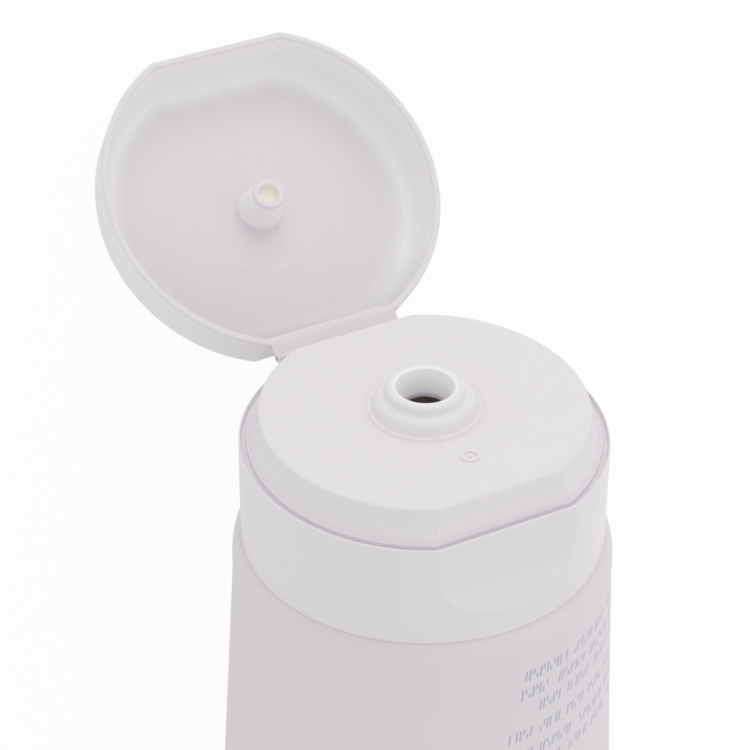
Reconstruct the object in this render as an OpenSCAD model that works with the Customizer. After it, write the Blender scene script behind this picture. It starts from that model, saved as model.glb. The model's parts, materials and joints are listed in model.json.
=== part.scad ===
// Squeeze tube with a flip-top cap, lying on its back.
// The cap is drawn upright first: +Z runs from the tube to the lid, +X to the thumb side,
// and z = 0 is the deck around the spout. The last step lays the whole tube down.

/* [Tube] */
// Outer radius of the round sleeve under the shoulder
tube_r = 25; // [22:0.5:30]
// Length of the sleeve from the shoulder to the crimp
sleeve_len = 160; // [110:1:200]
// Wall of the sleeve
sleeve_wall = 0.5; // [0.4:0.05:0.8]
// Height of the crimped band that closes the sleeve
crimp_h = 7; // [4:0.5:12]
// How far the rounded shoulder edge reaches inwards
edge_in = 2.1; // [1.6:0.1:3]
// How far the rounded shoulder edge reaches down
edge_down = 3.4; // [2:0.1:5]

/* [Tube head] */
// Outer radius of the neck
neck_r = 10.5; // [8:0.5:12]
// Wall of the neck
neck_wall = 1.8; // [1.2:0.1:2.5]
// Thickness of the shoulder disc
shoulder_t = 1.4; // [1:0.1:2.5]
// Length of the rim inside the sleeve, below the rounded edge
rim_len = 2.5; // [1:0.5:6]

/* [Cap base] */
// How far the cap stands inside the tube's outer radius
cap_inset = 1.2; // [0.6:0.1:2]
// Height of the skirt below the ledge
skirt_h = 14.7; // [12:0.1:22]
// Wall of the skirt
skirt_wall = 1.3; // [1:0.1:2]
// Depth of the thumb flat and of the hinge flat below the round outline
flat_depth = 2.1; // [1.5:0.1:2.8]
// Height of the deck above the ledge
deck_h = 4.4; // [3:0.1:6]
// Thickness of the deck
deck_t = 1.4; // [1:0.1:2]
// Width of the ledge that the lid sits on
ledge_w = 1.25; // [1.1:0.05:1.8]
// How far the round wall of the deck leans in
deck_lean = 1.35; // [0:0.05:1.8]
// How far the flat walls of the deck lean in
deck_flat_lean = 1.1; // [0:0.05:1.5]
// Rounding of the deck's edge
deck_round = 0.5; // [0.2:0.1:1]
// Height of the straight part of the thumb recess
recess_h = 4.4; // [2:0.1:6]
// Radius of the scoop below it
scoop_r = 11.8; // [8:0.1:14]
// Height of the flat under the hinge
hinge_flat_h = 3; // [1.5:0.5:6]
// Wall of the collar that grips the neck
collar_wall = 1.2; // [0.8:0.1:2]
// Length of the collar below the deck
collar_len = 9; // [6:0.5:10]

/* [Spout] */
// Radius of the spout's foot
spout_foot_r = 7.3; // [6:0.1:9]
// Radius where the dome turns into the flat lip
spout_lip_r = 4.7; // [4.4:0.1:5.5]
// Height of the spout above the deck
spout_h = 3.4; // [2.5:0.1:4]
// Radius of the mouth
mouth_r = 3.8; // [3.3:0.1:4]
// Rounding of the mouth's edge
mouth_round = 0.35; // [0.1:0.05:0.4]
// Radius of the orifice
orifice_r = 2.85; // [2.7:0.05:3.2]
// Height of the funnel's lower end above the deck
funnel_z = 0.1; // [0:0.1:1.5]

/* [Lid] */
// Height of the lid
lid_h = 10.6; // [9.5:0.1:14]
// Thickness of the lid's top
lid_top_t = 2; // [1.2:0.1:2.4]
// How far the outer wall leans in
lid_lean = 0.2; // [0:0.1:0.6]
// Rounding of the lid's outer top edge
lid_round = 5.2; // [3:0.1:6]
// Rounding between the lid's wall and its ceiling
bowl_round = 4.4; // [2:0.1:5]
// How far the inner wall leans in
bowl_lean = 0.9; // [0.4:0.1:1.2]
// Radius of the plug pin at the ceiling
pin_foot_r = 3.3; // [2.9:0.1:3.4]
// Radius of the plug pin at its tip
pin_tip_r = 2.15; // [1.9:0.05:2.3]
// Radius of the hole in the pin
pin_hole_r = 1.4; // [0.8:0.1:1.5]
// Depth of the hole in the pin
pin_hole_depth = 4; // [1:0.5:5]
// How far the pin reaches below the deck when closed
pin_reach = 1.4; // [0.5:0.1:2]
// Radius of the fine ring on the ceiling
ring_r = 9.1; // [6:0.1:14]

/* [Hinge] */
// Opening angle of the lid as it lies
open_angle = 144; // [100:1:160]
// Thickness of the hinge web
web_t = 0.5; // [0.4:0.05:0.8]
// Radius of the rolled edge where the web folds
knuckle_r = 0.4; // [0.35:0.05:0.6]
// Gap between the ledge and the closed lid
lid_gap = 0.2; // [0.15:0.05:0.4]

/* [Hidden] */
$fn = 96;

// Clearances
fit_gap = 0.1;      // between pieces that are pressed or welded together
wall_gap = 0.25;    // between the lid's wall and the deck inside it
fold_gap = 0.06;    // between the web's rolled edge and the lid's web
over = 1;           // how far a cutter runs past the face it cuts

// Cap, measured from the tube
cap_r = tube_r - cap_inset;
flat_x = cap_r - flat_depth;
cap_z = -deck_h - skirt_h;
skirt_in_r = cap_r - skirt_wall;
foot_r = cap_r - ledge_w;
foot_flat_x = flat_x - ledge_w;
deck_r = foot_r - deck_lean;
deck_flat_x = foot_flat_x - deck_flat_lean;
collar_r = neck_r + fit_gap;

// Tube, measured from the cap's lower edge
edge_z = cap_z - fit_gap;
curl_w = 1.5;       // flat rim of the sleeve that is curled over the head
head_r = tube_r - sleeve_wall - fit_gap;
head_z = edge_z - sleeve_wall - fit_gap;
rigid_down = edge_down + rim_len;   // the head keeps the sleeve round down to here
rim_z = edge_z - rigid_down;
rim_wall = 1.2;
neck_top_z = -deck_t - fit_gap;
crimp_half_w = PI / 2 * tube_r;
crimp_z = edge_z - sleeve_len;
end_z = crimp_z - crimp_h;
pocket_end = 2;     // where the inside ends, above the crimp
crimp_blend = 0.5;  // length over which the oval body turns into the flat band
crimp_square = 0.85;    // how near the band's section comes to a rectangle
thick_power = 0.6;  // how the sleeve thins towards the crimp, while it widens evenly
crowd_power = 1.5;  // how the sections crowd towards the crimp, where the sleeve turns flat

// Lid when closed
lid_z = -deck_h + lid_gap;
lid_top_z = lid_z + lid_h;
ceiling_z = lid_top_z - lid_top_t;
lid_wall = ledge_w - wall_gap;
bowl_r = cap_r - lid_wall;
bowl_flat_x = flat_x - lid_wall;
ring_w = 0.5;
ring_h = 0.3;
pin_fillet = 0.6;
pin_tip_z = -pin_reach;

// Hinge line, behind the hinge flat and no further out than the skirt
hinge_x = -cap_r;
hinge_z = -deck_h + lid_gap / 2;
web_end_gap = 0.5;  // how far the web stops short of the flat's ends
web_half_y = sqrt(cap_r * cap_r - flat_x * flat_x) - web_end_gap;
web_root = 0.5;     // how far the web runs into the base's wall

// Small ring and dot that the mould leaves on the deck
mark_pos = [11.8, 0];
mark_r = 1.15;
mark_line = 0.35;
mark_dot_r = 0.3;
mark_h = 0.12;

// How the tube lies: on the crimp's lower edge and on the lid's rounded thumb edge
lid_round_at = turned([flat_x - lid_lean - lid_round, lid_top_z - lid_round]);
crimp_at = [-sleeve_wall, end_z];
rest_dx = lid_round_at[0] - crimp_at[0];
rest_dz = lid_round_at[1] - crimp_at[1];
lean_angle = asin(lid_round / norm([rest_dx, rest_dz])) - atan2(rest_dx, rest_dz);
crimp_end = laid([sleeve_wall, end_z]);
lid_end = laid(turned([flat_x, lid_z]));
floor_at = laid(crimp_at)[1];
middle_at = (crimp_end[0] + lid_end[0]) / 2;

// A point [x, z] of the closed lid, turned open about the hinge line
function turned(p) = [
    hinge_x + cos(open_angle) * (p[0] - hinge_x) - sin(open_angle) * (p[1] - hinge_z),
    hinge_z + sin(open_angle) * (p[0] - hinge_x) + cos(open_angle) * (p[1] - hinge_z)
];

// A point [x, z] of the upright cap, in the directions of the lying tube
function laid(p) = [
    sin(lean_angle) * p[0] - cos(lean_angle) * p[1],
    cos(lean_angle) * p[0] + sin(lean_angle) * p[1]
];

function oval(centre, rx, ry, from, to, steps = 8) = [
    for (i = [0:steps])
        let (a = from + (to - from) * i / steps)
        centre + [rx * cos(a), ry * sin(a)]
];

// Share of the way from the round end to the flat end, at a depth under the shoulder
function flatness(depth) = max(0, depth - rigid_down) / (sleeve_len - rigid_down);

// Half sizes of the sleeve's section. The way round it stays the same all the way down.
function half_thick(depth, inset) =
    (tube_r - sleeve_wall) * pow(1 - flatness(depth), thick_power) + sleeve_wall - inset;
function half_wide(depth, inset) =
    tube_r + (crimp_half_w - tube_r) * flatness(depth) - inset;

// One section of the sleeve as a ring of points; square 0 is an oval, 1 a flat band
section_points = 64;
function section(half_x, half_y, z, square = 0) = [
    for (i = [0:section_points - 1])
        let (a = 360 * (i + 0.5) / section_points, power = 1 - crimp_square * square)
        [
            half_x * sign(cos(a)) * pow(abs(cos(a)), power),
            half_y * sign(sin(a)) * pow(abs(sin(a)), power),
            z
        ]
];

// Sections over the rounded shoulder edge
function edge_sections(inset) = [
    for (a = [90:-15:0])
        let (r = tube_r - edge_in + (edge_in - inset) * cos(a))
        section(r, r, edge_z - edge_down + (edge_down - inset) * sin(a))
];

// Sections down the sleeve, closer together where it turns flat
body_steps = 12;
function body_sections(from, to, inset) = [
    for (i = [0:body_steps])
        let (depth = from + (to - from) * (1 - pow(1 - i / body_steps, crowd_power)))
        section(half_thick(depth, inset), half_wide(depth, inset), edge_z - depth)
];

// Solid through a list of sections, from the top one down
module loft(sections) {
    rings = len(sections);
    n = len(sections[0]);
    polyhedron(
        points = [for (ring = sections) each ring],
        faces = [
            [for (i = [n - 1:-1:0]) i],
            for (k = [0:rings - 2], i = [0:n - 1])
                let (j = (i + 1) % n, a = k * n, b = a + n)
                each [[a + i, a + j, b + j], [a + i, b + j, b + i]],
            [for (i = [0:n - 1]) (rings - 1) * n + i]
        ]
    );
}

// Right half of a shape with a leaning wall and a rounded upper corner
module half_outline(r, lean, z_low, z_high, round) {
    top_r = r - lean;
    polygon([
        [0, z_low],
        [r, z_low],
        [top_r, z_high - round],
        [top_r - round, z_high],
        [0, z_high]
    ]);
    translate([top_r - round, z_high - round]) circle(r = round);
}

// Round block with a flat in front and a flat behind, and its upper edge rounded all round
module flatted_block(r, flat, lean, flat_lean, z_low, z_high, round) {
    intersection() {
        rotate_extrude() half_outline(r, lean, z_low, z_high, round);
        rotate([90, 0, 0]) linear_extrude(height = 2 * (r + over), center = true) {
            half_outline(flat, flat_lean, z_low, z_high, round);
            mirror([1, 0]) half_outline(flat, flat_lean, z_low, z_high, round);
        }
    }
}

// Box given by its middle in x and y and its two heights
module slab(x_from, x_to, half_y, z_from, z_to) {
    translate([x_from, -half_y, z_from]) cube([x_to - x_from, 2 * half_y, z_to - z_from]);
}

// Soft sleeve, open under the head and crimped flat at its end
module tube_sleeve() {
    color("#d9d0d5")
    lay_down()
    difference() {
        loft(concat(
            edge_sections(0),
            body_sections(rigid_down, sleeve_len, 0),
            [
                section(sleeve_wall, crimp_half_w, crimp_z - crimp_blend, 1),
                section(sleeve_wall, crimp_half_w, end_z, 1)
            ]
        ));
        loft(concat(
            edge_sections(sleeve_wall),
            body_sections(rigid_down, sleeve_len - pocket_end, sleeve_wall)
        ));
        translate([0, 0, edge_z - sleeve_wall - over])
            cylinder(r = tube_r - edge_in - curl_w, h = sleeve_wall + 2 * over);
    }
}

// Moulded shoulder and neck, welded into the sleeve
module tube_head() {
    edge_rx = edge_in - sleeve_wall - fit_gap;
    edge_ry = edge_down - sleeve_wall - fit_gap;
    edge_at = [head_r - edge_rx, head_z - edge_ry];
    neck_in_r = neck_r - neck_wall;
    color("#e6e2e6")
    lay_down()
    rotate_extrude() polygon(concat(
        [[neck_in_r, neck_top_z], [neck_in_r, head_z - shoulder_t]],
        [[head_r - rim_wall, head_z - shoulder_t], [head_r - rim_wall, rim_z]],
        [[head_r, rim_z]],
        oval(edge_at, edge_rx, edge_ry, 0, 90),
        [[neck_r, head_z], [neck_r, neck_top_z]]
    ));
}

// What the tube holds
module cleanser() {
    inset = sleeve_wall + fit_gap;
    color("#efe9dd")
    lay_down()
    loft(body_sections(rigid_down + fit_gap, sleeve_len - pocket_end - fit_gap, inset));
}

// Outside of the spout: a low dome with a flat lip
module spout_dome() {
    foot_z = 0.35;
    rotate_extrude() polygon(concat(
        [[0, -deck_t / 2], [spout_foot_r, -deck_t / 2]],
        oval([spout_lip_r, foot_z], spout_foot_r - spout_lip_r, spout_h - foot_z, 0, 90),
        [[0, spout_h]]
    ));
}

// Funnel and orifice
module spout_bore() {
    rotate_extrude() polygon(concat(
        [[0, -deck_t - over], [orifice_r, -deck_t - over], [orifice_r, funnel_z]],
        oval([mouth_r + mouth_round, spout_h - mouth_round], mouth_round, mouth_round, 180, 90, 4),
        [[mouth_r + mouth_round, spout_h + over], [0, spout_h + over]]
    ));
}

// Recess for the thumb: a flat that ends in a scoop
module thumb_recess() {
    turn_z = -deck_h - recess_h;
    slab(flat_x, cap_r + over, cap_r, turn_z, -deck_h + over);
    translate([flat_x + scoop_r, 0, turn_z])
        rotate([90, 0, 0]) cylinder(r = scoop_r, h = 2 * cap_r, center = true);
}

// Space under the deck and inside the skirt
module cap_hollow() {
    step_z = -deck_h - skirt_wall;
    intersection() {
        translate([0, 0, cap_z - over]) cylinder(r = skirt_in_r, h = step_z - cap_z + over);
        slab(-flat_x + skirt_wall, flat_x - skirt_wall, cap_r, cap_z - 2 * over, 0);
    }
    intersection() {
        translate([0, 0, step_z - over]) cylinder(r = deck_r - skirt_wall, h = -deck_t - step_z + over);
        slab(-deck_flat_x + skirt_wall, deck_flat_x - skirt_wall, cap_r, step_z - 2 * over, 0);
    }
}

// Small raised ring and dot on the deck
module mould_mark() {
    translate([mark_pos[0], mark_pos[1], -mark_h]) {
        difference() {
            cylinder(r = mark_r, h = 2 * mark_h);
            translate([0, 0, -over]) cylinder(r = mark_r - mark_line, h = 2 * mark_h + 2 * over);
        }
        cylinder(r = mark_dot_r, h = 2 * mark_h);
    }
}

// Base of the cap: deck, spout, ledge, skirt and the base's half of the hinge
module cap_base() {
    color("#e3e1e4")
    lay_down() {
        difference() {
            union() {
                flatted_block(foot_r, foot_flat_x, deck_lean, deck_flat_lean, -deck_h - over, 0, deck_round);
                translate([0, 0, cap_z]) cylinder(r = cap_r, h = skirt_h);
                spout_dome();
            }
            cap_hollow();
            spout_bore();
            thumb_recess();
            slab(-cap_r - over, -flat_x, cap_r, -deck_h - hinge_flat_h, -deck_h + over);
        }
        mould_mark();
        translate([0, 0, -deck_t - collar_len]) difference() {
            cylinder(r = collar_r + collar_wall, h = collar_len + deck_t / 2);
            translate([0, 0, -over]) cylinder(r = collar_r, h = collar_len + deck_t + over);
        }
        slab(hinge_x, -flat_x + web_root, web_half_y, -deck_h - web_t, -deck_h);
        translate([hinge_x, 0, hinge_z])
            rotate([90, 0, 0]) cylinder(r = knuckle_r, h = 2 * web_half_y, center = true);
    }
}

// Hollow pin that plugs the spout
module plug_pin() {
    rotate_extrude() polygon(concat(
        [[pin_hole_r, pin_tip_z], [pin_tip_r, pin_tip_z], [pin_foot_r, ceiling_z - pin_fillet]],
        oval([pin_foot_r + pin_fillet, ceiling_z - pin_fillet], pin_fillet, pin_fillet, 180, 90, 4),
        [[pin_foot_r + pin_fillet, ceiling_z + pin_fillet], [0, ceiling_z + pin_fillet]],
        [[0, pin_tip_z + pin_hole_depth], [pin_hole_r, pin_tip_z + pin_hole_depth]]
    ));
}

// Lid, drawn closed
module closed_lid() {
    difference() {
        flatted_block(cap_r, flat_x, lid_lean, lid_lean, lid_z, lid_top_z, lid_round);
        flatted_block(bowl_r, bowl_flat_x, bowl_lean, bowl_lean, lid_z - over, ceiling_z, bowl_round);
    }
    plug_pin();
    translate([0, 0, ceiling_z - ring_h]) difference() {
        cylinder(r = ring_r + ring_w / 2, h = 2 * ring_h);
        translate([0, 0, -over]) cylinder(r = ring_r - ring_w / 2, h = 2 * ring_h + 2 * over);
    }
    difference() {
        slab(hinge_x, -flat_x + lid_wall / 2, web_half_y, lid_z, lid_z + web_t);
        translate([hinge_x, 0, hinge_z])
            rotate([90, 0, 0]) cylinder(r = knuckle_r + fold_gap, h = 2 * cap_r, center = true);
    }
}

module lid() {
    color("#dddbde")
    lay_down()
    translate([hinge_x, 0, hinge_z])
    rotate([0, -open_angle, 0])
    translate([-hinge_x, 0, -hinge_z])
    closed_lid();
}

// From the upright cap to the lying tube, with the origin on the floor under its middle
module lay_down() {
    translate([-middle_at, 0, -floor_at]) rotate([0, lean_angle - 90, 0]) children();
}

tube_sleeve();
tube_head();
cleanser();
cap_base();
lid();
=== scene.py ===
import json
import math
from contextlib import contextmanager

import bmesh
import bpy
from bpy.props import FloatProperty, FloatVectorProperty, IntProperty, PointerProperty
from bpy.types import Operator, Panel, PropertyGroup
from mathutils import Matrix, Vector


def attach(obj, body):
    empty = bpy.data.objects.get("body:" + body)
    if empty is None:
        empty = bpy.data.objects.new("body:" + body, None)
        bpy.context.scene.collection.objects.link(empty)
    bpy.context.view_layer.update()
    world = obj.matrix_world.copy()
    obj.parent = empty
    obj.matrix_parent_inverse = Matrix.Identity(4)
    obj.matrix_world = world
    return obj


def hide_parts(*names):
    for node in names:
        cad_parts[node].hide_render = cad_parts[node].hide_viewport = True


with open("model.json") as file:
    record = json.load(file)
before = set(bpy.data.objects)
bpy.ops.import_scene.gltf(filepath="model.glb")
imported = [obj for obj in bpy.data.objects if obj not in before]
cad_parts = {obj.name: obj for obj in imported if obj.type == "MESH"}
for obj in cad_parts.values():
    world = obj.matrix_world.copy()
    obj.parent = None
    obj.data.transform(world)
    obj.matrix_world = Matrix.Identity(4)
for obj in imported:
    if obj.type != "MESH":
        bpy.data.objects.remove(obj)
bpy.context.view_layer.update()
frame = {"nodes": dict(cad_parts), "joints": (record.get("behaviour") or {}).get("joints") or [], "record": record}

bl_info = {
    "name": "Flip-top squeeze tube",
    "version": (1, 0, 0),
    "blender": (4, 5, 0),
    "location": "3D Viewport > Sidebar > Tube",
    "description": "Dresses the packed squeeze tube and its flip-top cap",
    "category": "Object",
}

MM = 0.001
FIT = 0.1 * MM      # gap between pieces that are pressed together

# The cap's own directions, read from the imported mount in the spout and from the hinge:
# z runs from the tube to the lid, x to the thumb side, and z = 0 is the deck.
SPOUT = next(m for m in frame["record"]["mounts"] if m["name"] == "spout_orifice")
HINGE = next(j for j in frame["joints"] if j["name"] == "lid_hinge")
MOUNT_DEPTH = 0.65 * MM      # the spout's mount lies this far under the deck
UP = Vector(SPOUT["axis"]).normalized()
SIDE = Vector((0, 1, 0))
DECK_MIDDLE = Vector(SPOUT["pos_m"]) + UP * MOUNT_DEPTH
LAY_DOWN = Matrix.Translation(DECK_MIDDLE) @ Matrix((SIDE.cross(UP), SIDE, UP)).transposed().to_4x4()
HINGE_AT = LAY_DOWN.inverted() @ Vector(HINGE["pos_m"])
OPEN_ANGLE = -math.radians(HINGE["range_deg"][0])
OPEN = (
    Matrix.Translation(HINGE_AT)
    @ Matrix.Rotation(-OPEN_ANGLE, 4, "Y")
    @ Matrix.Translation(-HINGE_AT)
)


# Settings that a user would change

def length(name, size_mm, description):
    """Length setting whose default is given in millimetres."""
    return FloatProperty(
        name=name, description=description, default=size_mm * MM, min=0,
        unit="LENGTH", subtype="DISTANCE", precision=5,
    )


def tint(name, colour, description):
    """Colour setting."""
    return FloatVectorProperty(
        name=name, description=description, default=colour, size=3, min=0, max=1, subtype="COLOR",
    )


def share(name, value, description, top):
    """Plain number setting from 0 to its top."""
    return FloatProperty(
        name=name, description=description, default=value, min=0, max=top, subtype="FACTOR",
    )


def lamp_power(name, watts, description):
    """Lamp power setting."""
    return FloatProperty(name=name, description=description, default=watts, min=0, unit="POWER")


class SleeveSettings(PropertyGroup):
    """Soft sleeve of the tube."""
    radius: length("Radius", 25, "Outer radius under the shoulder")
    wall: length("Wall", 0.5, "Thickness of the sleeve")
    run: length("Length", 160, "From the shoulder to the crimp")
    crimp: length("Crimp", 7, "Height of the crimped band")
    shoulder_in: length("Shoulder in", 1.3, "How far the rounded shoulder reaches inwards")
    shoulder_down: length("Shoulder down", 3.4, "How far the rounded shoulder reaches down")
    rim: length("Head rim", 2.5, "How far below the shoulder the head keeps the sleeve round")
    colour: tint("Colour", (0.82, 0.765, 0.80), "Colour of the sleeve")
    print_colour: tint("Print", (0.47, 0.50, 0.63), "Colour of the printed marks")


class CapSettings(PropertyGroup):
    """Base of the cap."""
    radius: length("Radius", 23.8, "Outer radius of the skirt")
    flat: length("Flat", 21.7, "Distance of the thumb flat and the hinge flat from the axis")
    skirt: length("Skirt", 14.7, "Height of the skirt under the ledge")
    wall: length("Wall", 1.3, "Thickness of the skirt")
    deck: length("Deck", 4.4, "Height of the deck above the ledge")
    deck_wall: length("Deck wall", 1.4, "Thickness of the deck")
    trough: length("Trough", 0.6, "Depth of the fine trough in the ledge")
    foot_radius: length("Foot radius", 22.55, "Radius of the deck's wall at the ledge")
    foot_flat: length("Foot flat", 20.45, "Distance of the deck's flat walls at the ledge")
    top_radius: length("Top radius", 21.2, "Radius of the deck's wall at the top")
    top_flat: length("Top flat", 19.35, "Distance of the deck's flat walls at the top")
    wall_bow: length("Wall bow", 0.3, "How far out the deck's hollow wall stands halfway down")
    scoop: length("Scoop", 11.8, "Radius of the scoop that ends the thumb recess")
    recess: length("Recess", 4.4, "Height of the recess above the scoop")
    hinge_flat: length("Hinge flat", 3, "Height of the flat under the hinge")
    neck: length("Neck", 10.6, "Inner radius of the collar")
    collar: length("Collar", 9, "Length of the collar")
    collar_wall: length("Collar wall", 1.2, "Thickness of the collar")
    colour: tint("Colour", (0.86, 0.83, 0.86), "Colour of the cap")
    spout_colour: tint("Spout", (0.875, 0.85, 0.875), "Colour of the spout's outside")
    # Painted light: the inside of the spout is lighter, standing in for light that shines through the plastic.
    funnel_painted_light: tint(
        "Funnel", (1.0, 0.98, 1.0), "Colour inside the spout, where light shines through")


class SpoutSettings(PropertyGroup):
    """Spout on the deck."""
    orifice: length("Orifice", 2.85, "Radius of the orifice")
    orifice_top: length("Orifice top", 0.1, "Height where the funnel begins")
    mouth: length("Mouth", 3.8, "Radius of the mouth")
    lip: length("Lip", 5.05, "Outer radius of the lip")
    throat: length("Throat", 2.15, "Height where the lip grows out of the dome")
    dome: length("Dome", 6.4, "Radius where the dome turns down")
    dome_height: length("Dome height", 1.75, "Height where the dome turns down")
    foot: length("Foot", 7.3, "Radius of the dome's foot")
    height: length("Height", 3.4, "Height above the deck")


class LidSettings(PropertyGroup):
    """Flip lid."""
    height: length("Height", 10.6, "Height of the lid")
    top: length("Top", 2, "Thickness of its top")
    gap: length("Gap", 0.2, "Gap above the ledge when shut")
    wall: length("Wall", 1, "Thickness of its wall at the rim")
    lean: length("Lean", 0.36, "How far the outer wall leans in")
    outer_round: length("Outer round", 5.2, "Rounding of its top edge")
    inner_round: length("Inner round", 4.4, "Rounding between wall and ceiling")
    inner_lean: length("Inner lean", 0.9, "How far the inner wall leans in")
    pin_foot: length("Pin foot", 3.3, "Radius of the pin at the ceiling")
    pin_tip: length("Pin tip", 2.15, "Radius of the pin at its tip")
    pin_hole: length("Pin hole", 1.4, "Radius of the hole in the pin")
    pin_reach: length("Pin reach", 1.4, "How far the pin reaches under the deck when shut")
    ring: length("Ring", 9.1, "Radius of the fine ring on the ceiling")
    strap: length("Strap", 9.28, "Half width of the hinge strap")
    strap_wall: length("Strap wall", 0.5, "Thickness of the hinge strap")
    knuckle: length("Knuckle", 0.4, "Radius of the strap's fold")
    # Painted light: the thin wall and the pin are lighter, standing in for light that shines through the plastic.
    wall_painted_light: tint("Wall", (0.985, 0.97, 0.985), "Colour of the thin wall and of the pin")
    # Painted light: the lid's outside is lighter than the cap's colour.
    shell_painted_light: tint("Shell", (0.93, 0.91, 0.93), "Colour of the lid's outside")
    # Painted shade: the inner wall is darker towards the hinge.
    hinge_side_painted_shade: tint("Hinge side", (0.66, 0.635, 0.66), "Colour of the inner wall near the hinge")
    # Painted shade: the lid's rim and the pin's tip are darker.
    rim_painted_shade: tint("Rim", (0.83, 0.80, 0.83), "Colour of the lid's rim and of the pin's tip")
    # Painted shade: the ceiling and the strap are darker, as if less light came through them.
    ceiling_painted_shade: tint("Ceiling", (0.79, 0.76, 0.79), "Colour of the thick ceiling and the strap")


class StageSettings(PropertyGroup):
    """Floor, lamps and camera."""
    daylight: share("Daylight", 0.77, "Strength of the even light from all sides", 4)
    top_power: lamp_power("Top lamp", 0.72, "Power of the soft lamp over the deck")
    right_power: lamp_power("Right lamp", 0.38, "Power of the broad lamp on the right")
    floor: tint("Floor", (0.96, 0.96, 0.96), "Colour of the floor")
    focal: FloatProperty(
        name="Focal length", description="Focal length of the camera in millimetres",
        default=134.48, min=1,
    )
    steps: IntProperty(
        name="Turn steps", description="Steps of a full turn on round pieces",
        default=192, min=24, max=512,
    )


def settings(name):
    """Settings group of the scene by name."""
    return getattr(bpy.context.scene, "tube_" + name)


# Modelling helpers

def make_active(piece):
    """Selects one piece alone."""
    bpy.ops.object.select_all(action="DESELECT")
    piece.select_set(True)
    bpy.context.view_layer.objects.active = piece


@contextmanager
def editing(piece):
    """Edit mode on one piece with everything selected."""
    make_active(piece)
    bpy.ops.object.mode_set(mode="EDIT")
    bpy.ops.mesh.select_all(action="SELECT")
    yield
    bpy.ops.object.mode_set(mode="OBJECT")


def tidy_mesh():
    """Merges doubles and turns all faces outwards, in edit mode."""
    bpy.ops.mesh.select_all(action="SELECT")
    bpy.ops.mesh.remove_doubles(threshold=0.0005 * MM)
    bpy.ops.mesh.dissolve_degenerate(threshold=0.0002 * MM)
    bpy.ops.mesh.select_all(action="SELECT")
    bpy.ops.mesh.normals_make_consistent(inside=False)


def rounded(corners, closed=True):
    """Outline through (x, z, radius) corners, with an arc in each corner that has a radius."""
    count = len(corners)
    outline = []
    for i, (x, z, radius) in enumerate(corners):
        here = Vector((x, z))
        if radius == 0 or (not closed and i in (0, count - 1)):
            outline.append(here)
            continue
        back = (Vector(corners[i - 1][:2]) - here).normalized()
        ahead = (Vector(corners[(i + 1) % count][:2]) - here).normalized()
        half = back.angle(ahead) / 2
        centre = here + (back + ahead).normalized() * radius / math.sin(half)
        start = here + back * radius / math.tan(half) - centre
        end = here + ahead * radius / math.tan(half) - centre
        first = math.atan2(start.y, start.x)
        turn = (math.atan2(end.y, end.x) - first + math.pi) % (2 * math.pi) - math.pi
        steps = max(3, math.ceil(abs(turn) / math.radians(9)))
        for k in range(steps + 1):
            angle = first + turn * k / steps
            outline.append(centre + radius * Vector((math.cos(angle), math.sin(angle))))
    return outline


def oval_arc(centre, half_x, half_z, first, last, steps):
    """Corners along part of an upright oval, with no rounding of their own."""
    corners = []
    for k in range(steps + 1):
        angle = math.radians(first + (last - first) * k / steps)
        x = centre[0] + half_x * math.cos(angle)
        z = centre[1] + half_z * math.sin(angle)
        corners.append((x, z, 0))
    return corners


def wire(name, outline, y=0.0):
    """Open chain of edges through an outline of (x, z) points, made by extruding one point."""
    bpy.ops.object.select_all(action="DESELECT")
    bpy.ops.mesh.primitive_plane_add(size=MM)
    piece = bpy.context.object
    piece.name = name
    places = [Vector((p[0], y, p[1])) for p in outline]
    with editing(piece):
        bpy.ops.mesh.merge(type="CENTER")
        bpy.ops.transform.translate(value=places[0])
        for here, there in zip(places, places[1:]):
            bpy.ops.mesh.extrude_vertices_move(TRANSFORM_OT_translate={"value": there - here})
    return piece


def spun(name, outline, closed, steps=None):
    """Body turned on the cap's axis from an outline of (radius, height) points."""
    steps = steps or settings("stage").steps
    piece = wire(name, outline)
    with editing(piece):
        if closed:
            bpy.ops.mesh.select_all(action="DESELECT")
            mesh = bmesh.from_edit_mesh(piece.data)
            mesh.verts.ensure_lookup_table()
            mesh.verts[0].select_set(True)
            mesh.verts[-1].select_set(True)
            bmesh.update_edit_mesh(piece.data)
            bpy.ops.mesh.edge_face_add()
        bpy.ops.mesh.select_all(action="SELECT")
        bpy.ops.mesh.spin(steps=steps, angle=2 * math.pi, center=(0, 0, 0), axis=(0, 0, 1))
        tidy_mesh()
    return piece


def drawn_out(name, outline, half_width):
    """Body drawn out along the hinge line from a closed outline of (x, z) points."""
    piece = wire(name, outline, -half_width)
    with editing(piece):
        bpy.ops.mesh.edge_face_add()
        bpy.ops.mesh.extrude_region_move(TRANSFORM_OT_translate={"value": (0, 2 * half_width, 0)})
        tidy_mesh()
    return piece


def apply_modifier(piece, kind, **values):
    """Adds a modifier with its values and applies it."""
    modifier = piece.modifiers.new(kind.lower(), kind)
    for key, value in values.items():
        setattr(modifier, key, value)
    make_active(piece)
    bpy.ops.object.modifier_apply(modifier=modifier.name)


def combine(piece, operation, tool):
    """Cuts, joins or intersects a piece with a tool, which is used up."""
    apply_modifier(piece, "BOOLEAN", operation=operation, object=tool, solver="EXACT")
    bpy.data.objects.remove(tool)
    if len(piece.data.polygons) == 0:
        raise RuntimeError(f"{piece.name} was lost when it was combined")


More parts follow.
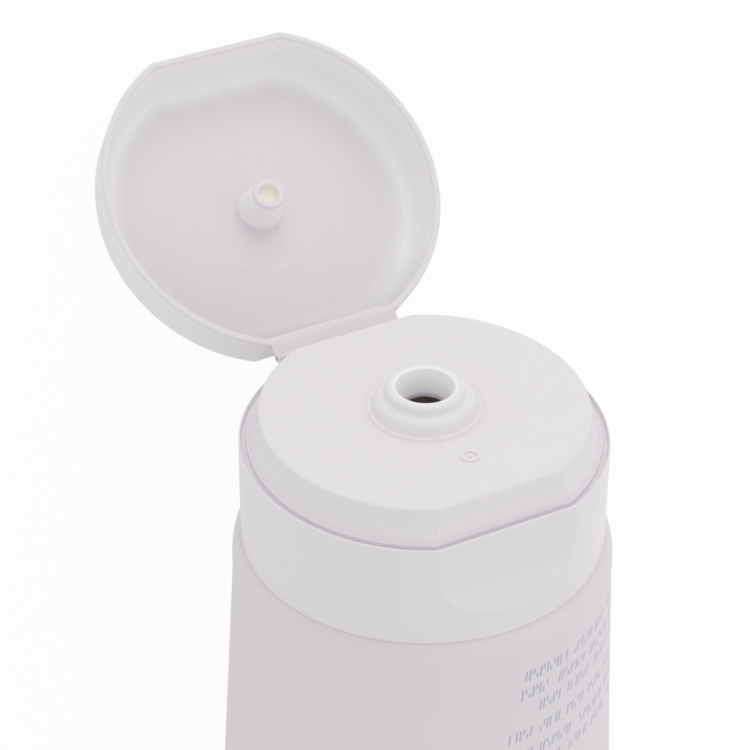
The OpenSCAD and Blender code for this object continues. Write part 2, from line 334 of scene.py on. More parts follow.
def ringed(name, rings, count):
    """Closed body through oval rings of (half x, half y, height), extruded ring by ring."""
    bpy.ops.object.select_all(action="DESELECT")
    bpy.ops.mesh.primitive_circle_add(vertices=count, radius=1, fill_type="NGON")
    piece = bpy.context.object
    piece.name = name
    with editing(piece):
        here = (1, 1, 0)
        for i, ring in enumerate(rings):
            rise = (0, 0, ring[2] - here[2])
            if i:
                bpy.ops.mesh.extrude_region_move(TRANSFORM_OT_translate={"value": rise})
            else:
                bpy.ops.transform.translate(value=rise)
            scale = (ring[0] / here[0], ring[1] / here[1], 1)
            bpy.ops.transform.resize(value=scale, center_override=(0, 0, ring[2]))
            here = ring
        tidy_mesh()
    return piece


def set_down(piece, place):
    """Moves a finished piece to its place in the shared frame and keeps that in its mesh."""
    piece.matrix_world = place
    make_active(piece)
    bpy.ops.object.transform_apply(location=True, rotation=True, scale=True)


def smooth(piece, angle=22):
    """Smooth shading up to an angle, with flat faces kept flat."""
    with editing(piece):
        tidy_mesh()
    make_active(piece)
    bpy.ops.object.shade_smooth_by_angle(angle=math.radians(angle))
    apply_modifier(piece, "WEIGHTED_NORMAL", keep_sharp=True, weight=80)


def hand_over(piece, body, slot, material, *nodes):
    """Gives a piece its finish and its body, and hides the CAD nodes that it stands for."""
    piece.data.materials.clear()
    piece.data.materials.append(material)
    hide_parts(*nodes)
    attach(piece, body)


# Materials

class Value:
    """Output socket that can be used in sums. Each sign adds one Math node."""

    def __init__(self, finish, socket):
        self.finish = finish
        self.socket = socket

    def math(self, operation, *others):
        inputs = dict(enumerate((self, *others)))
        return self.finish.node("ShaderNodeMath", {"operation": operation}, inputs)

    def __add__(self, other):
        return self.math("ADD", other)

    def __radd__(self, other):
        return self.math("ADD", other)

    def __sub__(self, other):
        return self.math("SUBTRACT", other)

    def __rsub__(self, other):
        return self.finish.node("ShaderNodeMath", {"operation": "SUBTRACT"}, {0: other, 1: self})

    def __mul__(self, other):
        return self.math("MULTIPLY", other)

    def __rmul__(self, other):
        return self.math("MULTIPLY", other)

    def __truediv__(self, other):
        return self.math("DIVIDE", other)

    def __lt__(self, other):
        return self.math("LESS_THAN", other)

    def __gt__(self, other):
        return self.math("GREATER_THAN", other)


class Finish:
    """Material or world with its nodes."""

    def __init__(self, owner):
        owner.use_nodes = True
        self.owner = owner
        self.tree = owner.node_tree
        self.tree.nodes.clear()

    def node(self, kind, values=None, inputs=None, output=0):
        """Adds a node, sets its values first and then its sockets, and returns one output."""
        node = self.tree.nodes.new(kind)
        for key, value in (values or {}).items():
            setattr(node, key, value)
        for key, value in (inputs or {}).items():
            if isinstance(value, Value):
                self.tree.links.new(value.socket, node.inputs[key])
            else:
                node.inputs[key].default_value = value
        if len(node.outputs) == 0:
            return node
        return Value(self, node.outputs[output])

    def noise(self, place, scale, detail):
        """Soft noise from 0 to 1."""
        return self.node("ShaderNodeTexNoise", inputs={
            "Vector": place, "Scale": scale, "Detail": detail})

    def mixed(self, factor, first, second):
        """Mix of two colours."""
        return self.node(
            "ShaderNodeMix", {"data_type": "RGBA"}, {0: factor, 6: first, 7: second}, output=2)

    def bump(self, height, strength, distance):
        """Normal bent by a height."""
        return self.node("ShaderNodeBump", inputs={
            "Strength": strength, "Distance": distance, "Height": height})

    def own_place(self, laid=LAY_DOWN):
        """Object coordinates in the upright cap's directions, in metres."""
        place = self.node("ShaderNodeTexCoord", output=3)
        return self.node("ShaderNodeMapping", {"vector_type": "TEXTURE"}, {
            "Vector": place, "Location": laid.to_translation(), "Rotation": laid.to_euler()})

    def step(self, value, start, end):
        """0 below start, 1 above end and even in between."""
        share_of_way = (value - start) * (1 / (end - start))
        return share_of_way.math("MINIMUM", 1.0).math("MAXIMUM", 0.0)

    def parts(self, place):
        """The three values of a vector."""
        split = self.tree.nodes.new("ShaderNodeSeparateXYZ")
        self.tree.links.new(place.socket, split.inputs[0])
        return [Value(self, socket) for socket in split.outputs]

    def surface(self, **inputs):
        """Principled surface on the material's output."""
        named = {key.replace("_", " "): value for key, value in inputs.items()}
        shader = self.node("ShaderNodeBsdfPrincipled", inputs=named)
        self.node("ShaderNodeOutputMaterial", inputs={"Surface": shader})
        return self.owner


def paint(colour, factor=1.0):
    """Colour setting as a socket value, lighter or darker by a factor."""
    return tuple(min(1.0, c * factor) for c in colour) + (1.0,)


def new_finish(name):
    """New material by name."""
    return Finish(bpy.data.materials.new(name))


CLOUD_GREY = (0.6, 0.58, 0.62, 1)
DRIED_CREAM = (0.95, 0.92, 0.85, 1)


def cap_plastic(name, laid, tone_and_light_of, satin):
    """Polished white polypropylene, with its colour, painted light and painted shade, and satin where the mould
    was.

    tone_and_light_of gives the colour, painted light and shade included, from the finish and the place, and satin
    the two heights in the upright cap between which the gloss changes.
    """
    finish = new_finish(name)
    place = finish.own_place(laid)
    x, y, height = finish.parts(place)
    clouds = finish.noise(place, 60, 3)
    flow = finish.noise(place, 260, 4)
    base = finish.mixed(clouds * 0.03, tone_and_light_of(finish, x, y, height), CLOUD_GREY)
    grain = finish.noise(place, 2600, 2)
    waves = finish.noise(place, 140, 1)
    return finish.surface(
        Base_Color=base,
        Roughness=0.16 + finish.step(height, *satin) * 0.2 + flow * 0.06,
        Normal=finish.bump(waves * 0.8 + grain * 0.2, 0.12, 0.02 * MM),
        IOR=1.49,
    )


def strap_painted_shade(finish, x, height):
    """1 on the hinge strap, which lies outside the hinge flat and above its lower edge; this mask paints shade on
    the strap.
    """
    cap = settings("cap")
    return finish.step(x, -cap.flat, -cap.flat - 0.15 * MM) * (height > -cap.deck - MM)


def base_plastic():
    """Base of the cap: glossy skirt, satin deck, painted light inside the spout's funnel and painted shade on the
    hinge strap.
    """
    cap, spout = settings("cap"), settings("spout")

    def tones_and_painted_light(finish, x, y, height):
        radius = (x * x + y * y).math("SQRT")
        # Painted light inside the funnel, standing in for light through the plastic.
        funnel = finish.step(radius, spout.mouth + 0.6 * MM, spout.mouth + 0.1 * MM)
        tone = finish.mixed(funnel, paint(cap.spout_colour), paint(cap.funnel_painted_light))
        tone = finish.mixed(finish.step(height, 0.1 * MM, 0.4 * MM), paint(cap.colour), tone)
        # Painted shade on the hinge strap, in the ceiling's darker colour.
        strap = strap_painted_shade(finish, x, height)
        return finish.mixed(strap, tone, paint(settings("lid").ceiling_painted_shade))

    satin = (-cap.deck - 0.02 * MM, -cap.deck + 0.08 * MM)
    return cap_plastic("cap_polypropylene", LAY_DOWN, tones_and_painted_light, satin)


def lid_plastic():
    """Lid: painted light on the thin wall, the pin and the outside, painted shade on the ceiling, the rim, the
    pin's tip, the strap and the inner wall's hinge side; satin inside.
    """
    cap, lid = settings("cap"), settings("lid")
    low = -cap.deck + lid.gap
    ceiling = low + lid.height - lid.top
    slant, slant_from = 0.55, 1.2 * MM          # lean of the inner wall above this height
    away_x, away_y = 0.85, 0.45                 # direction away from the hinge side, where painted shade darkens the inner wall
    dark_to, light_from = -18 * MM, -2 * MM     # ends of the painted shade's fading

    def tones_and_painted_light(finish, x, y, height):
        radius = (x * x + y * y).math("SQRT")
        to_flat = x.math("ABSOLUTE") + (cap.radius - cap.flat - 0.1 * MM)
        reach = radius.math("MAXIMUM", to_flat)
        reach = reach + (height - slant_from).math("MAXIMUM", 0.0) * slant
        inside = (reach < cap.radius - lid.wall + 0.15 * MM) * (height < ceiling + 0.6 * MM)
        # Painted light on the pin, in the wall's light colour.
        pin_side = finish.step(height, ceiling - 0.2 * MM, ceiling - 1.5 * MM)
        pin = (radius < lid.pin_foot + 0.5 * MM) * pin_side
        # Painted light on the thin wall, next to the ceiling's painted shade.
        thin = finish.step(height, ceiling + 0.1 * MM, ceiling - 1.2 * MM)
        thin = thin.math("MAXIMUM", pin)
        # Painted shade on the inner wall towards the hinge, fading to the light wall colour.
        painted_light_side = finish.step(x * away_x + y * away_y, dark_to, light_from)
        wall = finish.mixed(painted_light_side, paint(lid.hinge_side_painted_shade), paint(lid.wall_painted_light))
        wall = finish.mixed(pin, wall, paint(lid.wall_painted_light))
        # Painted shade on the ceiling, painted light on the wall.
        bowl = finish.mixed(thin, paint(lid.ceiling_painted_shade), wall)
        # Painted light on the lid's outside.
        tone = finish.mixed(inside, paint(lid.shell_painted_light), bowl)
        # Painted shade on the rim and on the pin's tip.
        edge = finish.step(height, low + 0.45 * MM, low + 0.2 * MM) * (radius > lid.ring)
        tip = finish.step(height, 0.7 * MM - lid.pin_reach, 0.2 * MM - lid.pin_reach)
        tip = tip * (radius < lid.ring)
        tone = finish.mixed(edge.math("MAXIMUM", tip), tone, paint(lid.rim_painted_shade))
        # Painted shade on the hinge strap.
        tone = finish.mixed(strap_painted_shade(finish, x, height), tone, paint(lid.ceiling_painted_shade))
        hole = (radius < lid.pin_hole + 0.02 * MM) * (height < ceiling)
        return finish.mixed(hole, tone, DRIED_CREAM)

    satin = (ceiling + MM, ceiling + 0.5 * MM)
    return cap_plastic("lid_polypropylene", LAY_DOWN @ OPEN, tones_and_painted_light, satin)


def sleeve_film():
    """Soft satin polyethylene with lines of small printed marks beside the thumb flat."""
    sleeve = settings("sleeve")
    finish = new_finish("satin_polyethylene")
    place = finish.own_place()
    x, y, z = finish.parts(place)
    along = y.math("ARCTAN2", x) * (sleeve.radius / MM)
    down = z * (-1 / MM)
    marks = printed_marks(finish, along, down)
    clouds = finish.noise(place, 45, 3)
    base = finish.mixed(clouds, paint(sleeve.colour, 0.98), paint(sleeve.colour, 1.015))
    base = finish.mixed(marks, base, paint(sleeve.print_colour))
    rib_pitch, ribs_from, ribs_to = 0.9, 0.6, 6.4       # ribs of the crimp, in millimetres
    ridge = (down * (2 * math.pi / rib_pitch)).math("SINE")
    crimp_top = crimp_depth() / MM
    band = (down > crimp_top + ribs_from) * (down < crimp_top + ribs_to)
    grain = finish.noise(place, 1900, 2)
    dents = finish.noise(place, 30, 1)
    height = grain * 0.12 + dents * 1.0 + ridge * band * 2.5 + marks * 0.25
    return finish.surface(
        Base_Color=base, Roughness=0.36 + clouds * 0.08 - marks * 0.06,
        Normal=finish.bump(height, 0.35, 0.06 * MM), IOR=1.5,
    )


def crimp_depth():
    """Depth of the crimp's upper edge under the deck."""
    cap, sleeve = settings("cap"), settings("sleeve")
    return cap.deck + cap.skirt + FIT + sleeve.run


# Printed lines: depth of the middle under the deck, start along the sleeve from the thumb side,
# end along it, marks to a word, and the first gap, in millimetres and counts.
PRINT_LINES = (
    (26.8, 0.9, 30.0, 17, 3),
    (30.1, 1.2, 28.0, 13, 5),
    (33.4, 4.6, 24.0, 11, 4),
    (37.8, 0.0, 29.0, 9, 2),
    (41.9, 0.0, 30.0, 14, 6),
    (45.3, 0.0, 26.0, 10, 1),
)
MARK_HEIGHT = 1.9
MARK_PITCH = 0.58
MARK_WIDTH = 0.5        # share of the pitch
CUT_ABOVE = 0.55        # share of the height that a low mark lacks at its top
CUT_BELOW = 0.5         # share of the height that a high mark lacks at its foot


def printed_marks(finish, along, down):
    """Mask of fine upright strokes in lines, some of half height, with gaps as between words."""
    total = None
    for depth, start, end, word, gap in PRINT_LINES:
        place = (along - start) / MARK_PITCH
        number = place.math("FLOOR")
        inside = (place - number) < MARK_WIDTH
        spaced = (number + gap).math("MODULO", word) > 1.5
        over = down - (depth - MARK_HEIGHT / 2)
        upper = (number + gap).math("MODULO", 3) < 0.5
        lower = (number + gap).math("MODULO", 4) > 2.5
        begins = lower * (MARK_HEIGHT * CUT_ABOVE)
        ends = MARK_HEIGHT - upper * (MARK_HEIGHT * CUT_BELOW)
        line = (over > begins) * (over < ends)
        line = line * (along > start) * (along < end) * inside * spaced
        total = line if total is None else total.math("MAXIMUM", line)
    return total


def head_plastic():
    """Plain warm white polyethylene of the tube's head, which shows dark through the orifice."""
    finish = new_finish("moulded_polyethylene")
    place = finish.own_place()
    clouds = finish.noise(place, 90, 3)
    grain = finish.noise(place, 1500, 2)
    return finish.surface(
        Base_Color=finish.mixed(clouds, (0.84, 0.78, 0.71, 1), (0.90, 0.84, 0.77, 1)),
        Roughness=0.4 + clouds * 0.1, Normal=finish.bump(grain, 0.2, 0.02 * MM),
    )


def cream():
    """Wet cream inside the tube."""
    finish = new_finish("wet_cream")
    place = finish.own_place()
    folds = finish.noise(place, 120, 3)
    return finish.surface(
        Base_Color=finish.mixed(folds, (0.80, 0.76, 0.69, 1), (0.86, 0.83, 0.77, 1)),
        Roughness=0.22 + folds * 0.15, Normal=finish.bump(folds, 0.4, 0.4 * MM), IOR=1.4,
    )


def studio_floor():
    """White floor that the camera sees as white and that keeps the shadow."""
    colour = settings("stage").floor
    finish = new_finish("studio_floor")
    place = finish.node("ShaderNodeTexCoord", output=3)
    speckle = finish.noise(place, 900, 2)
    base = finish.mixed(speckle, paint(colour, 0.99), paint(colour, 1.01))
    plain = finish.node("ShaderNodeBsdfDiffuse", inputs={"Color": base})
    glow = finish.node("ShaderNodeEmission", inputs={"Color": (1, 1, 1, 1), "Strength": 1.0})
    rays = finish.tree.nodes.new("ShaderNodeLightPath")
    camera, glossy, through = (
        Value(finish, rays.outputs[name])
        for name in ("Is Camera Ray", "Is Glossy Ray", "Is Transmission Ray")
    )
    mirrored, whitened = 0.35, 0.93     # shares of white in mirrored rays and over all
    seen = camera.math("MAXIMUM", glossy * mirrored).math("MAXIMUM", through) * whitened
    mix = finish.node("ShaderNodeMixShader", inputs={0: seen, 1: plain, 2: glow})
    finish.node("ShaderNodeOutputMaterial", inputs={"Surface": mix})
    return finish.owner


# Pieces

def flat_walls(corners):
    """Outline over both sides from the corners of the thumb side and of the hinge side."""
    thumb, hinge = corners
    return rounded(thumb + [(-x, z, radius) for x, z, radius in reversed(hinge)])


def base_turned():
    """Deck, spout, ledge and skirt as one turned body."""
    cap, spout = settings("cap"), settings("spout")
    low = -cap.deck - cap.skirt
    dome_foot = spout.foot - 0.45 * MM
    corners = [
        (spout.orifice, spout.orifice_top, 0.15 * MM),
        (spout.mouth, spout.height, 0.3 * MM),
        (spout.lip, spout.height, 0.5 * MM),
        (spout.lip + 0.05 * MM, spout.throat, 0.6 * MM),
        (spout.dome, spout.dome_height, 1.3 * MM),
        (dome_foot, 0.22 * MM, 0.1 * MM),
        (spout.foot, 0.2 * MM, 0.12 * MM),
        (spout.foot + 0.12 * MM, -0.12 * MM, 0.08 * MM),
        (spout.foot + 0.4 * MM, -0.12 * MM, 0.08 * MM),
        (spout.foot + 0.7 * MM, 0, 0.3 * MM),
        (cap.top_radius, 0, 0.4 * MM),
        (cap.top_radius + cap.wall_bow, -cap.deck / 2, 5 * MM),
        (cap.foot_radius, -cap.deck, 0),
        (cap.radius, -cap.deck, 0.25 * MM),
        (cap.radius, low, 0.05 * MM),
        (spout.orifice, low, 0),
    ]
    return spun("cap_shell", rounded(corners), closed=True)


def base_hollow():
    """Space inside the skirt and around the collar, with flat walls behind both flats."""
    cap = settings("cap")
    low = -cap.deck - cap.skirt - MM
    step = -cap.deck - cap.wall
    inner = cap.radius - cap.wall
    upper = cap.top_flat - cap.wall
    collar_low = -cap.deck_wall - cap.collar
    orifice_seat, orifice_wall = 4.8 * MM, 0.4 * MM
    corners = [
        (0, low, 0),
        (inner, low, 0),
        (inner, step, 0.5 * MM),
        (upper, step, 0),
        (upper, -cap.deck_wall, 0.5 * MM),
        (cap.neck + cap.collar_wall, -cap.deck_wall, 0),
        (cap.neck + cap.collar_wall, collar_low, 0),
        (cap.neck, collar_low, 0),
        (cap.neck, -cap.deck_wall, 0),
        (orifice_seat, -cap.deck_wall, 0),
        (orifice_seat, -orifice_wall, 0.3 * MM),
        (0, -orifice_wall, 0),
    ]
    hollow = spun("hollow", rounded(corners, closed=False), closed=False)
    reach = cap.flat - cap.wall
    flats = [(-reach, low - MM), (reach, low - MM), (reach, 0), (-reach, 0)]
    combine(hollow, "INTERSECT", drawn_out("hollow_flats", flats, cap.radius))
    return hollow


def base_flats():
    """Body that leaves the thumb flat with its scoop, the hinge flat and the deck's flat walls."""
    cap, spout = settings("cap"), settings("spout")
    beyond = cap.radius + MM
    low = -cap.deck - cap.skirt - MM
    scoop_z = -cap.deck - cap.recess
    scoop_x = cap.flat + cap.scoop
    sweep = math.degrees(math.acos((scoop_x - beyond) / cap.scoop))
    scoop = oval_arc((scoop_x, scoop_z), cap.scoop, cap.scoop, 180 + sweep, 180, 14)
    upper = [
        (cap.flat, -cap.deck, 0.25 * MM),
        (cap.foot_flat, -cap.deck, 0),
        (cap.top_flat + cap.wall_bow, -cap.deck / 2, 5 * MM),
        (cap.top_flat, 0, 0.4 * MM),
        (cap.top_flat - 0.9 * MM, 0.01 * MM, 0),
        (spout.foot + 2 * MM, spout.height + MM, 0),
    ]
    thumb = [(beyond, low, 0), *scoop, *upper]
    hinge = [
        (beyond, low, 0),
        (beyond, -cap.deck - cap.hinge_flat, 0),
        (cap.flat, -cap.deck - cap.hinge_flat, 0),
        *upper,
    ]
    return drawn_out("base_flats", flat_walls((thumb, hinge)), beyond)


def ledge_trough():
    """Shallow trough in the ledge, all round the foot of the deck's wall."""
    cap = settings("cap")
    land, inner_land, slope = 0.2 * MM, 0.17 * MM, 0.15 * MM
    ledge = cap.radius - cap.foot_radius
    top, low = -cap.deck + 0.5 * MM, -cap.deck - cap.trough
    sizes = {
        "trough": [(ledge - land, top), (ledge - land, -cap.deck), (ledge - land - slope, low)],
        "wall_foot": [(0, top + MM), (0, -cap.deck), (inner_land, -cap.deck), (inner_land, low - MM)],
    }
    blocks = []
    for name, corners in sizes.items():
        first, last = corners[0][1], corners[-1][1]
        turned = [(0, first)] + [(cap.foot_radius + x, z) for x, z in corners] + [(0, last)]
        block = spun(name, [Vector(corner) for corner in turned], closed=False)
        side = [(cap.foot_flat + x, z) for x, z in corners]
        flats = side + [(-x, z) for x, z in reversed(side)]
        combine(block, "INTERSECT", drawn_out(name + "_flats", flats, cap.radius + MM))
        blocks.append(block)
    combine(blocks[0], "DIFFERENCE", blocks[1])
    return blocks[0]


def add_mould_mark(piece):
    """Small ring and dot that the mould leaves on the deck, towards the thumb side."""
    middle = 11.8 * MM
    sunk, edge = -0.2 * MM, 0.06 * MM
    ring_top, dot_top = 0.2 * MM, 0.15 * MM
    ring = [
        (0.82 * MM, sunk, 0), (0.84 * MM, ring_top, edge),
        (1.22 * MM, ring_top, edge), (1.26 * MM, sunk, 0),
    ]
    dot = [
        (0.03 * MM, sunk, 0), (0.03 * MM, dot_top, 0),
        (0.24 * MM, dot_top, edge), (0.3 * MM, sunk, 0),
    ]
    for name, corners in (("mark_ring", ring), ("mark_dot", dot)):
        mark = spun(name, rounded(corners), closed=True, steps=32)
        set_down(mark, Matrix.Translation((middle, 0, 0)))
        combine(piece, "UNION", mark)


def strap_half(name, side):
    """Half of the hinge strap: 1 is the base's half with the fold, -1 the lid's half."""
    cap, lid = settings("cap"), settings("lid")
    x, z = HINGE_AT.x, HINGE_AT.z
    half_gap, lap, root = 0.1 * MM, 0.2 * MM, 0.5 * MM
    face = z - side * half_gap
    back = face - side * lid.strap_wall
    end = -cap.flat + root
    outline = [(x - lap, face), (x - lap, back), (end, back), (end, face)]
    strap = drawn_out(name, outline, lid.strap)
    if side > 0:
        bpy.ops.object.select_all(action="DESELECT")
        bpy.ops.mesh.primitive_cylinder_add(
            vertices=32, radius=lid.knuckle, depth=2 * lid.strap,
            location=(x, 0, z), rotation=(math.pi / 2, 0, 0))
        knuckle = bpy.context.object
        set_down(knuckle, knuckle.matrix_world.copy())
        combine(strap, "UNION", knuckle)
    return strap


def cap_base():
    """Base of the cap."""
    cap = settings("cap")
    piece = base_turned()
    combine(piece, "INTERSECT", base_flats())
    combine(piece, "DIFFERENCE", base_hollow())
    combine(piece, "DIFFERENCE", ledge_trough())
    add_mould_mark(piece)
    combine(piece, "UNION", strap_half("base_strap", 1))
    return piece


def lid_walls(name, radius, flat, lean, high, round_radius, rim):
    """Flatted block of the lid: a turned body and a drawn one, cut to what they share."""
    turned = [(0, high, 0), (radius - lean, high, round_radius), *rim(radius)]
    block = spun(name, rounded(turned, closed=False), closed=False)
    side = [(flat - lean, high, round_radius), *rim(flat)[:-1]]
    ridge = (0, high + 0.1 * MM, 0)     # keeps the drawn top clear of the turned one
    walls = rounded(side + [(-x, z, r) for x, z, r in reversed(side)] + [ridge])
    combine(block, "INTERSECT", drawn_out(name + "_flats", walls, settings("cap").radius + 3 * MM))
    return block


def closed_lid():
    """Lid as it lies when shut."""
    cap, lid = settings("cap"), settings("lid")
    low = -cap.deck + lid.gap
    high = low + lid.height
    ceiling = high - lid.top

    splay, drop = 1.4 * MM, 0.12 * MM       # slope of the rim towards its outer edge

    def outer_rim(reach):
        return [(reach, low, 0.25 * MM), (0, low, 0)]

    def inner_rim(reach):
        return [
            (reach, low, 0.5 * MM), (reach + splay, low - drop, 0),
            (reach + splay, low - MM, 0), (0, low - MM, 0),
        ]

    piece = lid_walls(
        "lid_shell", cap.radius, cap.flat, lid.lean,
        high, lid.outer_round, outer_rim)
    bowl = lid_walls(
        "bowl", cap.radius - lid.wall, cap.flat - lid.wall, lid.inner_lean,
        ceiling, lid.inner_round, inner_rim)
    combine(piece, "DIFFERENCE", bowl)
    combine(piece, "UNION", plug_pin(ceiling))
    combine(piece, "UNION", ceiling_ring(ceiling))
    combine(piece, "UNION", strap_half("lid_strap", -1))
    return piece


def plug_pin(ceiling):
    """Hollow pin on the lid's ceiling, with a soft foot."""
    lid = settings("lid")
    tip = -lid.pin_reach
    residue = 1.1 * MM      # depth at which dried cream fills the hole
    corners = [
        (0, tip + residue, 0),
        (lid.pin_hole, tip + residue, 0.3 * MM),
        (lid.pin_hole, tip, 0.15 * MM),
        (lid.pin_tip, tip, 0.3 * MM),
        (lid.pin_foot, ceiling, 0.6 * MM),
        (lid.pin_foot + 2 * MM, ceiling + 0.05 * MM, 0),
        (lid.pin_foot, ceiling + 0.8 * MM, 0),
        (0, ceiling + 0.8 * MM, 0),
    ]
    return spun("plug_pin", rounded(corners, closed=False), closed=False)


def ceiling_ring(ceiling):
    """Fine raised ring on the lid's ceiling."""
    ring = settings("lid").ring
    corners = [
        (ring - 1.6 * MM, ceiling + 0.3 * MM, 0),
        (ring - 0.3 * MM, ceiling - 0.05 * MM, 0.3 * MM),
        (ring + 0.3 * MM, ceiling - 0.05 * MM, 0.3 * MM),
        (ring + 1.6 * MM, ceiling + 0.3 * MM, 0),
    ]
    return spun("ceiling_ring", rounded(corners), closed=True)


def sleeve_rings():
    """Rings from the pocket's end up the inside, over the shoulder and down to the crimp."""
    sleeve, cap = settings("sleeve"), settings("cap")
    top = -cap.deck - cap.skirt - FIT
    half_band = math.pi / 2 * sleeve.radius - 0.01 * MM
    rigid = sleeve.shoulder_down + sleeve.rim
    thinning, crowding = 0.6, 1.5       # how it thins, and how its rings crowd at the crimp
    pocket_end, curl_reach, thinnest = 2 * MM, 2.3 * MM, 0.02 * MM

    def flatness(depth):
        return max(0.0, depth - rigid) / (sleeve.run - rigid)

    def ring(depth, inset):
        flat = flatness(depth)
        thick = (sleeve.radius - sleeve.wall) * (1 - flat) ** thinning + sleeve.wall - inset
        wide = sleeve.radius + (half_band - sleeve.radius) * flat - inset
        return (max(thick, thinnest), wide, top - depth)

    def shoulder(angle, inset):
        reach = sleeve.radius - sleeve.shoulder_in + (sleeve.shoulder_in - inset) * math.cos(angle)
        rise = (sleeve.shoulder_down + FIT - inset) * math.sin(angle)
        return (reach, reach, top - sleeve.shoulder_down + rise)

    steps = 44
    shares = [1 - (1 - k / steps) ** crowding for k in range(steps + 1)]
    depths = [rigid + (sleeve.run - rigid) * part for part in shares]
    arc = [math.radians(9 * k) for k in range(11)]
    curl = sleeve.radius - sleeve.shoulder_in - curl_reach
    pocket = sleeve.run - pocket_end
    inside = [ring(min(depth, pocket), sleeve.wall) for depth in reversed(depths[:-1])]
    inside += [shoulder(angle, sleeve.wall) for angle in arc]
    inside += [(curl, curl, top + FIT - sleeve.wall), (curl, curl, top + FIT)]
    outside = [shoulder(angle, 0) for angle in reversed(arc)]
    outside += [ring(depth, 0) for depth in depths]
    end = top - sleeve.run - sleeve.crimp
    outside += [
        (sleeve.wall, half_band, end + 0.3 * MM),
        (sleeve.wall * 0.7, half_band - 0.15 * MM, end),
    ]
    return inside + outside


# Operators

class MakeSleeve(Operator):
    """Models the soft sleeve from its shoulder to its crimp"""
    bl_idname = "tube.make_sleeve"
    bl_label = "Make Sleeve"

    def execute(self, context):
        piece = ringed("sleeve_skin", sleeve_rings(), 160)
        make_active(piece)
        bpy.ops.object.shade_smooth_by_angle(angle=math.radians(40))
        set_down(piece, LAY_DOWN)
        hand_over(piece, "tube", "sleeve", sleeve_film(), "tube_sleeve")
        return {"FINISHED"}


class MakeCap(Operator):
    """Models the cap's base with its spout, thumb recess and hinge strap"""
    bl_idname = "tube.make_cap"
    bl_label = "Make Cap"

    def execute(self, context):
        piece = cap_base()
        smooth(piece)
        set_down(piece, LAY_DOWN)
        hand_over(piece, "tube", "cap", base_plastic(), "cap_base")
        return {"FINISHED"}


class MakeLid(Operator):
    """Models the flip lid and turns it open"""
    bl_idname = "tube.make_lid"
    bl_label = "Make Lid"

    def execute(self, context):
        piece = closed_lid()
        smooth(piece)
        set_down(piece, LAY_DOWN @ OPEN)
        hand_over(piece, "lid", "cap", lid_plastic(), "lid")
        return {"FINISHED"}


class FinishInside(Operator):
    """Gives the tube's head and its filling their finishes"""
    bl_idname = "tube.finish_inside"
    bl_label = "Finish Inside"

    def execute(self, context):
        for node, material in (("tube_head", head_plastic()), ("cleanser", cream())):
            for slot in frame["nodes"][node].material_slots:
                slot.material = material
        return {"FINISHED"}


# Camera fitted to the photograph, in the cap's own directions
CAMERA_AT = Vector((251.577, -141.025, 208.918)) * MM
CAMERA_BACK = Vector((0.72072, -0.38337, 0.57757))
CAMERA_UP = Vector((-0.51286, 0.26569, 0.81632))


def look(back, up):
    """Turn of a camera or lamp from the direction behind it and the direction over it."""
    back = back.normalized()
    right = up.cross(back).normalized()
    return Matrix((right, back.cross(right), back)).transposed().to_4x4()


def add_lamp(name, target, direction, distance, width, height, power):
    """Rectangular soft lamp that looks at a point from a direction."""
    bpy.ops.object.light_add(type="AREA")
    lamp = bpy.context.object
    lamp.name = name
    lamp.data.shape = "RECTANGLE"
    lamp.data.size = width
    lamp.data.size_y = height
    lamp.data.energy = power
    back = direction.normalized()
    lamp.matrix_world = Matrix.Translation(target + back * distance) @ look(back, Vector((0, 0, 1)))


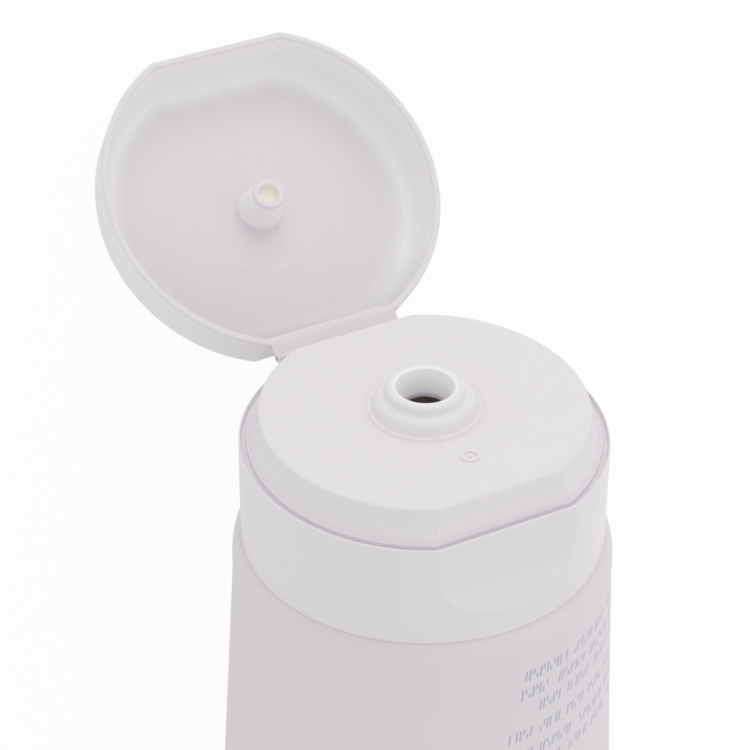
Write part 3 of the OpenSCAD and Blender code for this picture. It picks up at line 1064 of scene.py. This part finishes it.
class MakeStage(Operator):
    """Adds the floor, the light and the camera"""
    bl_idname = "tube.make_stage"
    bl_label = "Make Stage"

    def execute(self, context):
        stage = settings("stage")
        bpy.ops.object.select_all(action="DESELECT")
        bpy.ops.mesh.primitive_plane_add(size=6)
        floor = bpy.context.object
        floor.name = "studio_floor"
        floor.data.materials.append(studio_floor())

        world = bpy.data.worlds.new("even_daylight")
        context.scene.world = world
        light = Finish(world)
        white = (1, 1, 1, 1)
        glow = light.node(
            "ShaderNodeBackground", inputs={"Color": white, "Strength": stage.daylight})
        backdrop = light.node("ShaderNodeBackground", inputs={"Color": white, "Strength": 1.0})
        camera_ray = light.node("ShaderNodeLightPath")
        sky = light.node("ShaderNodeMixShader", inputs={0: camera_ray, 1: glow, 2: backdrop})
        light.node("ShaderNodeOutputWorld", inputs={"Surface": sky})

        turn = LAY_DOWN.to_3x3()
        add_lamp(
            "top_lamp", DECK_MIDDLE, turn @ Vector((-0.1, 0.2, 1)),
            distance=0.7, width=0.5, height=0.5, power=stage.top_power)
        add_lamp(
            "right_lamp", DECK_MIDDLE, turn @ Vector((0.75, 0.65, -0.1)),
            distance=0.8, width=0.4, height=0.6, power=stage.right_power)

        bpy.ops.object.camera_add()
        camera = bpy.context.object
        camera.name = "photo_camera"
        camera.data.lens = stage.focal
        camera.data.clip_start = 0.01
        camera.matrix_world = LAY_DOWN @ Matrix.Translation(CAMERA_AT) @ look(CAMERA_BACK, CAMERA_UP)
        context.scene.camera = camera
        context.scene.view_settings.view_transform = "Standard"
        return {"FINISHED"}


class TubePanel(Panel):
    """Steps that build the dressed tube"""
    bl_idname = "VIEW3D_PT_squeeze_tube"
    bl_label = "Squeeze Tube"
    bl_space_type = "VIEW_3D"
    bl_region_type = "UI"
    bl_category = "Tube"

    def draw(self, context):
        for operator, group in STEPS:
            self.layout.operator(operator.bl_idname)
            if group:
                box = self.layout.box()
                for key in settings(group).bl_rna.properties.keys():
                    if key not in ("rna_type", "name"):
                        box.prop(settings(group), key)


GROUPS = {
    "sleeve": SleeveSettings, "cap": CapSettings, "spout": SpoutSettings,
    "lid": LidSettings, "stage": StageSettings,
}
STEPS = (
    (MakeSleeve, "sleeve"), (MakeCap, "cap"), (MakeLid, "lid"),
    (FinishInside, None), (MakeStage, "stage"),
)
CLASSES = (*GROUPS.values(), *(operator for operator, _ in STEPS), TubePanel)


def register():
    for item in CLASSES:
        bpy.utils.register_class(item)
    for name, group in GROUPS.items():
        setattr(bpy.types.Scene, "tube_" + name, PointerProperty(type=group))


def unregister():
    for name in GROUPS:
        delattr(bpy.types.Scene, "tube_" + name)
    for item in reversed(CLASSES):
        bpy.utils.unregister_class(item)


def main():
    register()
    bpy.ops.tube.make_sleeve()
    bpy.ops.tube.make_cap()
    bpy.ops.tube.make_lid()
    bpy.ops.tube.finish_inside()
    bpy.ops.tube.make_stage()


if __name__ == "__main__":
    main()
